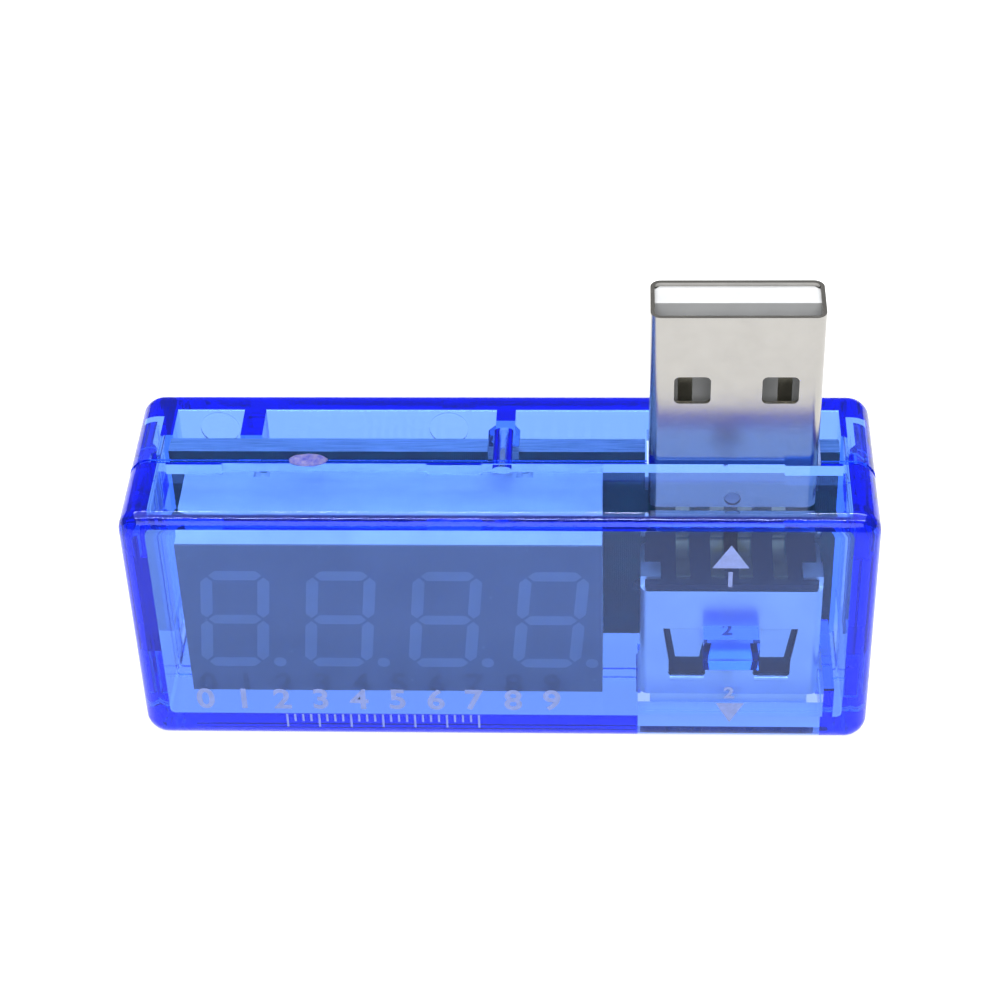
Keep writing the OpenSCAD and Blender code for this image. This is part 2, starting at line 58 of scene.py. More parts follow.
class CaseSettings(bpy.types.PropertyGroup):
    """The clear plastic of both covers."""

    tint: FloatVectorProperty(
        name="Tint",
        description="Colour that a deep edge of the plastic goes towards",
        subtype="COLOR",
        min=0.0,
        max=1.0,
        default=(0.055, 0.45, 0.975),
    )
    density: FloatProperty(
        name="Tint density",
        description="How strongly the plastic absorbs, per metre of its depth",
        default=535.0,
        min=0.0,
    )
    # Painted glow: an emission inside the plastic that adds blue light along every path through it,
    # whatever the lamps, in place of light scattered in the plastic
    haze: FloatVectorProperty(
        name="Painted glow",
        description="Colour of the light that the tint scatters inside the plastic",
        subtype="COLOR",
        min=0.0,
        max=1.0,
        default=(0.25, 0.42, 1.0),
    )
    haze_strength: FloatProperty(
        name="Haze strength",
        description="Light scattered inside the plastic, per metre of its depth",
        default=9.0,
        min=0.0,
    )
    ink: FloatVectorProperty(
        name="Print",
        description="Colour of the marks printed on the front",
        subtype="COLOR",
        min=0.0,
        max=1.0,
        default=(0.21, 0.28, 0.62),
    )
    ink_t: FloatProperty(
        name="Print thickness",
        description="Thickness of the printed marks",
        subtype="DISTANCE",
        unit="LENGTH",
        default=0.008 * MM,
    )


class DisplaySettings(bpy.types.PropertyGroup):
    """The display module."""

    face: FloatVectorProperty(
        name="Face",
        description="Colour of the painted face round the digits",
        subtype="COLOR",
        min=0.0,
        max=1.0,
        default=(0.27, 0.26, 0.265),
    )
    segment: FloatVectorProperty(
        name="Segment",
        description="Colour of an unlit segment",
        subtype="COLOR",
        min=0.0,
        max=1.0,
        default=(0.42, 0.42, 0.42),
    )


class MetalSettings(bpy.types.PropertyGroup):
    """The plated sheet of the plug and the socket."""

    plug: FloatVectorProperty(
        name="Plug",
        description="Colour of the plug's nickel plate",
        subtype="COLOR",
        min=0.0,
        max=1.0,
        default=(0.425, 0.412, 0.388),
    )
    socket: FloatVectorProperty(
        name="Socket",
        description="Colour of the socket's nickel plate",
        subtype="COLOR",
        min=0.0,
        max=1.0,
        default=(0.83, 0.81, 0.83),
    )


class BoardSettings(bpy.types.PropertyGroup):
    """The circuit board."""

    mask: FloatVectorProperty(
        name="Solder mask",
        description="Colour of the board's green coating",
        subtype="COLOR",
        min=0.0,
        max=1.0,
        default=(0.002, 0.065, 0.055),
    )
    track_w: FloatProperty(
        name="Track width",
        description="Width of an ordinary track",
        subtype="DISTANCE",
        unit="LENGTH",
        default=0.25 * MM,
    )
    relief: FloatProperty(
        name="Copper relief",
        description="How far the pads, the tracks and the white marks stand out of the board",
        subtype="DISTANCE",
        unit="LENGTH",
        default=0.03 * MM,
    )


class StageSettings(bpy.types.PropertyGroup):
    """Floor, light and camera."""

    floor: FloatVectorProperty(
        name="Floor",
        description="Colour of the floor",
        subtype="COLOR",
        min=0.0,
        max=1.0,
        default=(0.35, 0.35, 0.35),
    )
    glow: FloatProperty(
        name="Floor glow",
        description="Brightness of the light table's own light",
        default=0.9,
        min=0.0,
    )
    daylight: FloatProperty(
        name="Surrounding light",
        description="Light that falls on the meter from the plain white surroundings",
        default=0.22,
        min=0.0,
    )
    lens: FloatProperty(
        name="Focal length",
        description="Focal length of the camera on a 36 mm frame",
        subtype="DISTANCE_CAMERA",
        default=93.7,
        min=10.0,
    )


SETTINGS = {
    "meter_case": CaseSettings,
    "meter_display": DisplaySettings,
    "meter_metal": MetalSettings,
    "meter_board": BoardSettings,
    "meter_stage": StageSettings,
}


# ---------------------------------------------------------------- node helpers


def add(tree, kind, inputs=None, **settings):
    """Adds a node, sets its properties and fills or links its inputs."""
    node = tree.nodes.new(kind)
    for name, value in settings.items():
        setattr(node, name, value)
    for name, value in (inputs or {}).items():
        if isinstance(value, bpy.types.NodeSocket):
            tree.links.new(value, node.inputs[name])
        else:
            node.inputs[name].default_value = value
    return node


def colour(value):
    """A colour property as the four numbers that a socket takes."""
    return (*value, 1.0)


def ramp(tree, fac, stops):
    """A colour ramp through (place, colour) stops."""
    node = add(tree, "ShaderNodeValToRGB", {"Fac": fac})
    elements = node.color_ramp.elements
    while len(elements) < len(stops):
        elements.new(0.5)
    for element, (place, shade) in zip(elements, stops):
        element.position = place
        element.color = colour(shade)
    return node.outputs["Color"]


def spread(tree, value, low, high, out_low, out_high):
    """Maps a value from one range to another, clamped."""
    node = add(
        tree,
        "ShaderNodeMapRange",
        {"Value": value, "From Min": low, "From Max": high, "To Min": out_low, "To Max": out_high},
    )
    return node.outputs["Result"]


def maths(tree, operation, a, b):
    """One math node."""
    node = add(tree, "ShaderNodeMath", operation=operation)
    for socket, value in zip(node.inputs, (a, b)):
        if isinstance(value, bpy.types.NodeSocket):
            tree.links.new(value, socket)
        else:
            socket.default_value = value
    return node.outputs[0]


def mix(tree, fac, a, b):
    """Mixes two colours."""
    node = add(tree, "ShaderNodeMix", data_type="RGBA")
    for socket, value in zip((node.inputs[0], node.inputs[6], node.inputs[7]), (fac, a, b)):
        if isinstance(value, bpy.types.NodeSocket):
            tree.links.new(value, socket)
        else:
            socket.default_value = value
    return node.outputs[2]


def noise(tree, where, scale, detail=3.0, roughness=0.5):
    """A noise texture's value at a place."""
    inputs = {"Vector": where, "Scale": scale, "Detail": detail, "Roughness": roughness}
    return add(tree, "ShaderNodeTexNoise", inputs).outputs["Fac"]


def place(tree, scale=(1.0, 1.0, 1.0)):
    """Places on the object in metres, stretched by scale."""
    source = add(tree, "ShaderNodeTexCoord").outputs["Object"]
    if scale == (1.0, 1.0, 1.0):
        return source
    return add(tree, "ShaderNodeMapping", {"Vector": source, "Scale": scale}).outputs["Vector"]


def bump(tree, height, distance, strength=1.0):
    """A bump node's normal. The height's full range stands for distance."""
    inputs = {"Height": height, "Distance": distance, "Strength": strength}
    return add(tree, "ShaderNodeBump", inputs).outputs["Normal"]


def group_tree(name, inputs, outputs):
    """An empty node group with named sockets: returns the tree and its two end nodes."""
    tree = bpy.data.node_groups.new(name, "ShaderNodeTree")
    for socket, default in inputs.items():
        made = tree.interface.new_socket(socket, in_out="INPUT", socket_type="NodeSocketFloat")
        made.default_value = default
    for socket in outputs:
        tree.interface.new_socket(socket, in_out="OUTPUT", socket_type="NodeSocketFloat")
    return tree, tree.nodes.new("NodeGroupInput"), tree.nodes.new("NodeGroupOutput")


def placed(tree, group, **values):
    """Places a shared node group in a material, with its own values."""
    node = tree.nodes.new("ShaderNodeGroup")
    node.node_tree = group
    for name, value in values.items():
        node.inputs[name.replace("_", " ")].default_value = value
    return node.outputs


# ---------------------------------------------------------------- shared effects


def moulded_skin():
    """Fine mould texture with slow waves, and soft smudges left by fingers."""
    tree, start, end = group_tree("Moulded skin", {"Grain": 9000.0, "Waves": 260.0}, ("Height", "Smudge"))
    where = place(tree)
    grain = noise(tree, where, start.outputs["Grain"], 2.0)
    waves = noise(tree, where, start.outputs["Waves"], 2.0)
    smudge = noise(tree, where, 130.0, 5.0, 0.65)
    height = maths(tree, "ADD", maths(tree, "MULTIPLY", grain, 0.12), maths(tree, "MULTIPLY", waves, 0.88))
    tree.links.new(height, end.inputs["Height"])
    tree.links.new(spread(tree, smudge, 0.42, 0.68, 0.0, 1.0), end.inputs["Smudge"])
    return tree


def fine_dust():
    """Sparse specks of dust and short hairline scratches."""
    tree, start, end = group_tree(
        "Fine dust", {"Speck Scale": 1100.0, "Amount": 0.12}, ("Specks", "Scratches")
    )
    where = place(tree)
    cells = add(tree, "ShaderNodeTexVoronoi", {"Vector": where, "Scale": start.outputs["Speck Scale"]})
    lucky = add(tree, "ShaderNodeSeparateColor", {"Color": cells.outputs["Color"]}).outputs[0]
    chosen = maths(tree, "LESS_THAN", lucky, start.outputs["Amount"])
    dot = spread(tree, cells.outputs["Distance"], 0.06, 0.16, 1.0, 0.0)
    tree.links.new(maths(tree, "MULTIPLY", chosen, dot), end.inputs["Specks"])
    stretch = {"Vector": where, "Rotation": (0.3, 0.5, 0.9), "Scale": (60.0, 2600.0, 900.0)}
    stretched = add(tree, "ShaderNodeMapping", stretch).outputs["Vector"]
    lines = noise(tree, stretched, 1.0, 2.0)
    patches = noise(tree, where, 300.0, 2.0)
    line = spread(tree, lines, 0.72, 0.76, 0.0, 1.0)
    patch = spread(tree, patches, 0.52, 0.62, 0.0, 1.0)
    tree.links.new(maths(tree, "MULTIPLY", line, patch), end.inputs["Scratches"])
    return tree


def edge_rub():
    """A mask of the sharp edges, broken up as handling wears them. It stands both for rubbed wear and for
    a painted highlight along the edges.
    """
    tree, start, end = group_tree("Edge wear and painted highlight", {"Width": 0.08 * MM, "Break Up": 2500.0}, ("Mask",))
    soft = add(tree, "ShaderNodeBevel", {"Radius": start.outputs["Width"]}, samples=4)
    flat = add(tree, "ShaderNodeNewGeometry").outputs["Normal"]
    same = add(tree, "ShaderNodeVectorMath", {0: soft.outputs["Normal"], 1: flat}, operation="DOT_PRODUCT")
    edge = spread(tree, same.outputs["Value"], 0.99, 0.90, 0.0, 1.0)
    broken = noise(tree, place(tree), start.outputs["Break Up"], 3.0)
    kept = spread(tree, broken, 0.35, 0.6, 0.3, 1.0)
    tree.links.new(maths(tree, "MULTIPLY", edge, kept), end.inputs["Mask"])
    return tree


def plated_sheet():
    """Rolled and plated metal: faint rolling lines, cloudy mottle and fine pits."""
    tree, start, end = group_tree(
        "Plated sheet", {"Lines": 1.0, "Mottle Scale": 700.0}, ("Height", "Mottle", "Pits")
    )
    where = place(tree)
    stretched = place(tree, (9000.0, 9000.0, 260.0))
    lines = maths(tree, "MULTIPLY", noise(tree, stretched, 1.0, 2.0), start.outputs["Lines"])
    mottle = noise(tree, where, start.outputs["Mottle Scale"], 5.0, 0.62)
    cells = add(tree, "ShaderNodeTexVoronoi", {"Vector": where, "Scale": 5200.0})
    pits = spread(tree, cells.outputs["Distance"], 0.05, 0.28, 1.0, 0.0)
    pitted = maths(tree, "MULTIPLY", pits, spread(tree, mottle, 0.45, 0.62, 0.0, 1.0))
    height = maths(tree, "SUBTRACT", lines, maths(tree, "MULTIPLY", pitted, 0.4))
    tree.links.new(height, end.inputs["Height"])
    tree.links.new(mottle, end.inputs["Mottle"])
    tree.links.new(pitted, end.inputs["Pits"])
    return tree


EFFECTS = {}
EFFECT_MAKERS = {"skin": moulded_skin, "dust": fine_dust, "rub_and_highlight": edge_rub, "sheet": plated_sheet}


def effect(name):
    """A shared node group, built the first time that it's asked for."""
    if name not in EFFECTS:
        EFFECTS[name] = EFFECT_MAKERS[name]()
    return EFFECTS[name]


# ---------------------------------------------------------------- materials


def new_material(name, **plain):
    """A material with one Principled shader, and its plain values set on its own sockets."""
    material = bpy.data.materials.new(name)
    material.use_nodes = True
    tree = material.node_tree
    shader = tree.nodes["Principled BSDF"]
    for socket, value in plain.items():
        shader.inputs[socket.replace("_", " ")].default_value = value
    return material, tree, shader


def wire(tree, shader, **sources):
    """Links sources to the shader's sockets."""
    for socket, source in sources.items():
        tree.links.new(source, shader.inputs[socket.replace("_", " ")])


def clear_plastic(case):
    """Clear moulded plastic that goes deep blue wherever light travels far in it, and glows from inside
    with a painted blue light.
    """
    material, tree, shader = new_material(
        "Clear blue plastic",
        Base_Color=(1, 1, 1, 1),
        Transmission_Weight=1.0,
        IOR=1.53,
        Specular_Tint=(0.5, 0.6, 1.0, 1.0),
    )
    skin = placed(tree, effect("skin"), Grain=5200.0, Waves=210.0)
    dust = placed(tree, effect("dust"), Speck_Scale=900.0, Amount=0.05)
    gloss = spread(tree, skin["Smudge"], 0.0, 1.0, 0.012, 0.05)
    marked = maths(tree, "ADD", gloss, maths(tree, "MULTIPLY", dust["Scratches"], 0.12))
    height = maths(tree, "ADD", skin["Height"], maths(tree, "MULTIPLY", dust["Specks"], 0.3))
    wire(tree, shader, Roughness=marked, Normal=bump(tree, height, 0.012 * MM, 0.5))
    tint = {"Color": colour(case.tint), "Density": case.density}
    haze = {"Color": colour(case.haze), "Strength": case.haze_strength}
    depth = add(tree, "ShaderNodeVolumeAbsorption", tint)
    # A painted glow: this emission lights the plastic from within, whatever the lamps
    glow = add(tree, "ShaderNodeEmission", haze)
    both = add(tree, "ShaderNodeAddShader", {0: depth.outputs["Volume"], 1: glow.outputs["Emission"]})
    tree.links.new(both.outputs["Shader"], tree.nodes["Material Output"].inputs["Volume"])
    return material


def frosted_plastic():
    """The torn, frosted skin where the plastic was cut from its runner."""
    material, tree, shader = new_material("Frosted gate mark", Transmission_Weight=0.55, IOR=1.3)
    where = place(tree)
    torn = noise(tree, where, 2600.0, 6.0, 0.75)
    fine = noise(tree, where, 9000.0, 3.0, 0.6)
    stops = [(0.38, (0.14, 0.16, 0.74)), (0.5, (0.34, 0.34, 0.82)), (0.66, (0.66, 0.60, 0.88))]
    shade = ramp(tree, torn, stops)
    rough = spread(tree, fine, 0.3, 0.7, 0.4, 0.75)
    height = maths(tree, "ADD", torn, maths(tree, "MULTIPLY", fine, 0.3))
    wire(tree, shader, Base_Color=shade, Roughness=rough, Normal=bump(tree, height, 0.3 * MM))
    return material


def printing_ink(case):
    """Pale pad print, slightly uneven."""
    material, tree, shader = new_material("Printed ink", Specular_IOR_Level=0.3)
    where = place(tree)
    cover = noise(tree, where, 2600.0, 4.0, 0.6)
    thin = tuple(v * 0.82 for v in case.ink)
    shade = ramp(tree, cover, [(0.35, thin), (0.65, tuple(case.ink))])
    rough = spread(tree, cover, 0.3, 0.7, 0.42, 0.6)
    wire(tree, shader, Base_Color=shade, Roughness=rough, Normal=bump(tree, cover, 0.004 * MM))
    return material


def moulded_plastic(name, base, rough, grain=7000.0, depth=0.02 * MM, dusty=0.0, **plain):
    """Opaque moulded plastic with a fine grain, smudges and, if wanted, dust."""
    material, tree, shader = new_material(name, **plain)
    skin = placed(tree, effect("skin"), Grain=grain, Waves=500.0)
    dark = tuple(v * 0.86 for v in base)
    shade = mix(tree, skin["Smudge"], colour(base), colour(dark))
    # Paler edges: partly rubbed wear, partly a painted highlight where light would catch the edges
    rub_and_highlight = placed(tree, effect("rub_and_highlight"), Width=0.06 * MM)["Mask"]
    pale = tuple(min(1.0, v * 1.15 + 0.03) for v in base)
    shade = mix(tree, maths(tree, "MULTIPLY", rub_and_highlight, 0.6), shade, colour(pale))
    if dusty:
        specks = placed(tree, effect("dust"), Speck_Scale=1500.0, Amount=dusty)["Specks"]
        shade = mix(tree, maths(tree, "MULTIPLY", specks, 0.5), shade, (0.55, 0.56, 0.6, 1.0))
    wire(
        tree,
        shader,
        Base_Color=shade,
        Roughness=spread(tree, skin["Smudge"], 0.0, 1.0, rough, min(1.0, rough + 0.12)),
        Normal=bump(tree, skin["Height"], depth),
    )
    return material


def plated_metal(name, base, rough, lines=1.0, mottle=700.0, rub_and_highlight_width=0.08 * MM, dulled=0.84):
    """Plated metal, brighter at its edges: partly rubbed wear, partly a painted highlight."""
    material, tree, shader = new_material(name, Metallic=1.0)
    sheet = placed(tree, effect("sheet"), Lines=lines, Mottle_Scale=mottle)
    rub_and_highlight = placed(tree, effect("rub_and_highlight"), Width=rub_and_highlight_width)["Mask"]
    dull = tuple(v * dulled for v in base)
    # Brighter edges: partly rubbed plating, partly a painted highlight
    rub_and_highlight_colour = tuple(min(1.0, v * 1.12 + 0.02) for v in base)
    cloud = spread(tree, sheet["Mottle"], 0.35, 0.68, 0.0, 1.0)
    shade = mix(tree, cloud, colour(base), colour(dull))
    pitted = tuple(v * 0.55 for v in base)
    shade = mix(tree, maths(tree, "MULTIPLY", sheet["Pits"], 0.12), shade, colour(pitted))
    shade = mix(tree, rub_and_highlight, shade, colour(rub_and_highlight_colour))
    clouded = spread(tree, sheet["Mottle"], 0.3, 0.7, rough, rough + 0.05)
    worn = maths(tree, "ADD", clouded, maths(tree, "MULTIPLY", sheet["Pits"], 0.05))
    wire(tree, shader, Base_Color=shade, Roughness=worn, Normal=bump(tree, sheet["Height"], 0.006 * MM))
    return material


def board_laminate(board):
    """Green solder mask on the two faces, woven glass and resin on the cut edges."""
    material, tree, shader = new_material("Green board", Specular_IOR_Level=0.2, Coat_Roughness=0.2)
    where = place(tree)
    normal = add(tree, "ShaderNodeNewGeometry").outputs["Normal"]
    facing = add(tree, "ShaderNodeSeparateXYZ", {0: normal})
    on_face = maths(tree, "GREATER_THAN", maths(tree, "ABSOLUTE", facing.outputs["Y"], 0.0), 0.5)
    cloud = noise(tree, where, 420.0, 4.0)
    threads = {"Vector": where, "Scale": 2200.0, "Distortion": 1.5}
    weave = add(tree, "ShaderNodeTexWave", threads).outputs["Fac"]
    base = colour(board.mask)
    deep = tuple(v * 0.6 for v in board.mask)
    face = mix(tree, spread(tree, cloud, 0.35, 0.65, 0.0, 1.0), base, colour(deep))
    face = mix(tree, maths(tree, "MULTIPLY", weave, 0.12), face, (0.06, 0.30, 0.14, 1.0))
    fibres = noise(tree, place(tree, (320.0, 9000.0, 320.0)), 1.0, 5.0, 0.7)
    stops = [(0.3, (0.22, 0.28, 0.30)), (0.5, (0.42, 0.50, 0.55)), (0.72, (0.62, 0.68, 0.72))]
    cut = ramp(tree, fibres, stops)
    height = mix(tree, on_face, fibres, weave)
    wire(
        tree,
        shader,
        Base_Color=mix(tree, on_face, cut, face),
        Roughness=spread(tree, on_face, 0.0, 1.0, 0.8, 0.28),
        Coat_Weight=maths(tree, "MULTIPLY", on_face, 0.15),
        Normal=bump(tree, height, 0.012 * MM, 0.6),
    )
    return material


def covered_copper(board):
    """Copper seen through the solder mask, a little paler than the bare board."""
    material, tree, shader = new_material("Covered copper", Specular_IOR_Level=0.3, Roughness=0.35)
    cloud = noise(tree, place(tree), 900.0, 4.0)
    pale = tuple(v * 2.2 + 0.02 for v in board.mask)
    dull = tuple(v * 1.6 + 0.01 for v in board.mask)
    shade = mix(tree, cloud, colour(pale), colour(dull))
    wire(tree, shader, Base_Color=shade, Normal=bump(tree, cloud, 0.01 * MM))
    return material


def marking_paint():
    """White marking paint on the board, slightly patchy."""
    material, tree, shader = new_material("Board marking", Specular_IOR_Level=0.3)
    cover = noise(tree, place(tree), 5200.0, 4.0, 0.6)
    shade = ramp(tree, cover, [(0.3, (0.55, 0.58, 0.55)), (0.6, (0.82, 0.83, 0.81))])
    rough = spread(tree, cover, 0.3, 0.7, 0.5, 0.7)
    wire(tree, shader, Base_Color=shade, Roughness=rough, Normal=bump(tree, cover, 0.01 * MM))
    return material


def floor_paper(stage):
    """Plain white diffuser of a light table. It's clear from below, so that the underside shows."""
    material, tree, shader = new_material(
        "Pale floor",
        Roughness=0.9,
        Specular_IOR_Level=0.1,
        Emission_Color=(1, 1, 1, 1),
        Emission_Strength=stage.glow,
    )
    fibre = noise(tree, place(tree), 900.0, 4.0)
    soft = tuple(v * 0.985 for v in stage.floor)
    wire(tree, shader, Base_Color=mix(tree, fibre, colour(stage.floor), colour(soft)))
    below = add(tree, "ShaderNodeNewGeometry").outputs["Backfacing"]
    clear = add(tree, "ShaderNodeBsdfTransparent").outputs["BSDF"]
    either = add(tree, "ShaderNodeMixShader", {0: below, 1: shader.outputs["BSDF"], 2: clear})
    tree.links.new(either.outputs["Shader"], tree.nodes["Material Output"].inputs["Surface"])
    return material


def dress(material, *names):
    """Gives CAD nodes a finish."""
    for name in names:
        for slot in NODES[name].material_slots:
            slot.material = material


# ---------------------------------------------------------------- flat detail


def prism(bm, outline, low, high):
    """A closed slab: an outline of (x, z) points, run from y = low to y = high."""
    near = [bm.verts.new((x, low, z)) for x, z in outline]
    far = [bm.verts.new((x, high, z)) for x, z in outline]
    bm.faces.new(near)
    bm.faces.new(list(reversed(far)))
    for i in range(len(outline)):
        j = (i + 1) % len(outline)
        bm.faces.new((near[j], near[i], far[i], far[j]))


def rectangle(x, z, w, h):
    """The outline of a rectangle round a middle."""
    left, right = x - w / 2, x + w / 2
    low, high = z - h / 2, z + h / 2
    return [(left, low), (right, low), (right, high), (left, high)]


def disc(x, z, r, sides=24):
    """The outline of a disc."""
    turn = 2 * math.pi / sides
    return [(x + r * math.cos(i * turn), z + r * math.sin(i * turn)) for i in range(sides)]


def ring(bm, x, z, inner, outer, low, high, sides=24):
    """A closed flat ring, run from y = low to y = high."""
    loops = []
    for r, y in ((inner, low), (outer, low), (outer, high), (inner, high)):
        loops.append([bm.verts.new((px, y, pz)) for px, pz in disc(x, z, r, sides)])
    for a in range(4):
        b = (a + 1) % 4
        for i in range(sides):
            j = (i + 1) % sides
            bm.faces.new((loops[a][i], loops[a][j], loops[b][j], loops[b][i]))


def path_outline(points, width):
    """The outline of a band of even width along a path, mitred at its bends."""
    sharpest = 0.3
    left, right = [], []
    for i, (x, z) in enumerate(points):
        before = points[max(i - 1, 0)]
        after = points[min(i + 1, len(points) - 1)]
        into = Vector((x - before[0], z - before[1]))
        out = Vector((after[0] - x, after[1] - z))
        into = into.normalized() if i else out.normalized()
        out = out.normalized() if i < len(points) - 1 else into
        along = (into + out).normalized()
        reach = width / 2 / max(sharpest, along.dot(into))
        left.append((x - along.y * reach, z + along.x * reach))
        right.append((x + along.y * reach, z - along.x * reach))
    return left + right[::-1]


def frame_bars(x, z, w, h, t):
    """The outlines of the four bars of a rectangular frame."""
    upright = [rectangle(x + side * (w - t) / 2, z, t, h) for side in (-1, 1)]
    flat = [rectangle(x, z + side * (h - t) / 2, w - 2 * t, t) for side in (-1, 1)]
    return upright + flat


def centre(low, high):
    """The middle of a box in x and z."""
    return (low[0] + high[0]) / 2, (low[2] + high[2]) / 2


def islands(name):
    """The low and high corner of each separate solid in a CAD node."""
    node = NODES[name]
    bm = bmesh.new()
    bm.from_mesh(node.data)
    bm.transform(node.matrix_world)
    bmesh.ops.remove_doubles(bm, verts=bm.verts, dist=0.0001 * MM)
    met = set()
    corners = []
    for start in bm.verts:
        if start in met:
            continue
        met.add(start)
        solid = [start]
        for vert in solid:
            for edge in vert.link_edges:
                other = edge.other_vert(vert)
                if other not in met:
                    met.add(other)
                    solid.append(other)
        axes = list(zip(*(vert.co for vert in solid)))
        corners.append(([min(axis) for axis in axes], [max(axis) for axis in axes]))
    bm.free()
    return corners


def piece(name, bm, material):
    """Turns a bmesh into a named piece on the meter's body."""
    bmesh.ops.recalc_face_normals(bm, faces=bm.faces)
    mesh = bpy.data.meshes.new(name)
    bm.to_mesh(mesh)
    bm.free()
    obj = bpy.data.objects.new(name, mesh)
    bpy.context.scene.collection.objects.link(obj)
    obj.data.materials.append(material)
    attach(obj, ROOT)
    return obj


def glyph(bm, text, size, x, z, low, high, weight):
    """Adds a numeral, centred on x and z, as a closed slab from y = low to y = high."""
    curve = bpy.data.curves.new("numeral", "FONT")
    curve.body = text
    curve.size = size
    curve.align_x = "CENTER"
    curve.align_y = "CENTER"
    curve.offset = weight
    curve.extrude = (high - low) / 2
    curve.resolution_u = 6
    holder = bpy.data.objects.new("numeral", curve)
    bpy.context.scene.collection.objects.link(holder)
    graph = bpy.context.evaluated_depsgraph_get()
    mesh = bpy.data.meshes.new_from_object(holder.evaluated_get(graph))
    across = [v.co.x for v in mesh.vertices]
    up = [v.co.y for v in mesh.vertices]
    off_x = (min(across) + max(across)) / 2
    off_y = (min(up) + max(up)) / 2
    upright = Euler((math.radians(90), 0, 0)).to_matrix().to_4x4()
    stand = Matrix.Translation((x, (low + high) / 2, z)) @ upright
    mesh.transform(stand @ Matrix.Translation((-off_x, -off_y, 0)))
    bm.from_mesh(mesh)
    bpy.data.objects.remove(holder)
    bpy.data.curves.remove(curve)
    bpy.data.meshes.remove(mesh)


# ---------------------------------------------------------------- back of the board


def board_tin():
    """Tin plate of the pads and of the rings round the soldered pins."""
    return plated_metal("Board tin", (0.72, 0.72, 0.70), 0.26, lines=0.0, mottle=1200.0)


def solder_pads(low_y, high_y):
    """Tinned pads under every soldered end, and a ring round every soldered pin and via."""
    bm = bmesh.new()
    margin = 0.12 * MM
    lead_margin = 0.06 * MM
    foot_share = 0.55
    for name in ("chip_terminals", "shunt_terminals"):
        for low, high in islands(name):
            x, z = centre(low, high)
            outline = rectangle(x, z, high[0] - low[0] + 2 * margin, high[2] - low[2] + 2 * margin)
            prism(bm, outline, low_y, high_y)
    for name in ("controller_leads", "amplifier_leads", "regulator_leads"):
        _, middle = centre(*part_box(name))
        for low, high in islands(name):
            x, z = centre(low, high)
            foot = (high[2] - low[2]) * foot_share
            z += (high[2] - low[2] - foot) / 2 * (1 if z > middle else -1)
            prism(bm, rectangle(x, z, high[0] - low[0] + lead_margin, foot + margin), low_y, high_y)
    for low, high in islands("solder_joints"):
        x, z = centre(low, high)
        ring(bm, x, z, 0.7 * MM, 1.02 * MM, low_y, high_y)
    vias = [
        (-21, 16.6),
        (-19.6, 5),
        (-12.6, 12.6),
        (-2.6, 13),
        (0.4, 7.4),
        (0.4, 12.4),
        (7, 8.4),
        (9.9, 7),
        (22.6, 12.6),
    ]
    for x, z in vias:
        ring(bm, x * MM, z * MM, 0.16 * MM, 0.34 * MM, low_y, high_y, 16)
    return bm


def copper_tracks(track_w, low_y, high_y):
    """Tracks under the solder mask: fine ones between the small parts, wide ones for the current."""
    bm = bmesh.new()
    fine = [
        [(-21.6, 6), (-20.2, 6), (-18.4, 7.5), (-16.9, 7.5)],
        [(-21.6, 8), (-20.6, 8), (-19.1, 9.5), (-16.9, 9.5)],
        [(-21.6, 10), (-20.9, 10), (-18.4, 12.5), (-16.9, 12.5)],
        [(-21.6, 12), (-21.2, 12), (-18.7, 14.5), (-16.9, 14.5)],
        [(-15.3, 9.5), (-13.4, 9.5), (-12.6, 10.3), (-12.6, 12.4)],
        [(-15.3, 12.5), (-14.3, 12.5), (-13.5, 13.3), (-11.6, 13.3), (-10.9, 14), (-10.7, 14.3)],
        [(-15.3, 7.5), (-12.2, 7.5), (-11.6, 8.1), (-10.7, 8.1)],
        [(-4.9, 8), (-3.6, 8), (-1.2, 5.6), (-1.2, 5)],
        [(-4.9, 14.2), (-4, 14.2), (-2.6, 13.2)],
        [(-2.4, 12.9), (-1.2, 11.7), (1.2, 11.7), (1.9, 11)],
        [(0.6, 7.6), (1.8, 8.8), (2.3, 9.3)],
        [(7.4, 11), (6.6, 11), (6.1, 10.5), (6.1, 9.9)],
        [(7.4, 13), (6.6, 13), (6.1, 13.5), (6.1, 13.9)],
        [(9, 5), (10.4, 5), (12, 6.4), (12.9, 6.4)],
        [(9, 13), (9.8, 13), (12.4, 10.4)],
    ]
    wide = [
        [(13.1, 12.2), (13.1, 11.6), (11, 9.5), (11, 7.6), (12.9, 6.4)],
        [(20.1, 12.2), (20.1, 11.6), (22.2, 9.5), (22.2, 7.2), (20.3, 6.4)],
    ]
    for width, tracks in ((track_w, fine), (track_w * 5, wide)):
        for track in tracks:
            prism(bm, path_outline([(x * MM, z * MM) for x, z in track], width), low_y, high_y)
    return bm


def white_marks(low_y, high_y):
    """A line at both ends of each chip with a dot at its first lead, and bars by the small parts."""
    bm = bmesh.new()
    line = 0.14 * MM
    for name in ("controller_body", "amplifier_body", "regulator_body"):
        low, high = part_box(name)
        x, z = centre(low, high)
        w, h = high[0] - low[0] + 0.5 * MM, high[2] - low[2] - 0.3 * MM
        for side in (-1, 1):
            prism(bm, rectangle(x + side * w / 2, z, line, h), low_y, high_y)
        prism(bm, disc(low[0] - 0.75 * MM, low[2] + 0.2 * MM, 0.2 * MM), low_y, high_y)
    for name in ("chip_resistors", "chip_capacitors"):
        for low, high in islands(name):
            x, z = centre(low, high)
            for side in (-1, 1):
                prism(bm, rectangle(x, z + side * 0.68 * MM, 1.1 * MM, line), low_y, high_y)
    low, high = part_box("shunt_terminals")
    x, z = centre(low, high)
    for bar in frame_bars(x, z, high[0] - low[0] + MM, high[2] - low[2] + 0.8 * MM, line):
        prism(bm, bar, low_y, high_y)
    return bm


# ---------------------------------------------------------------- operators


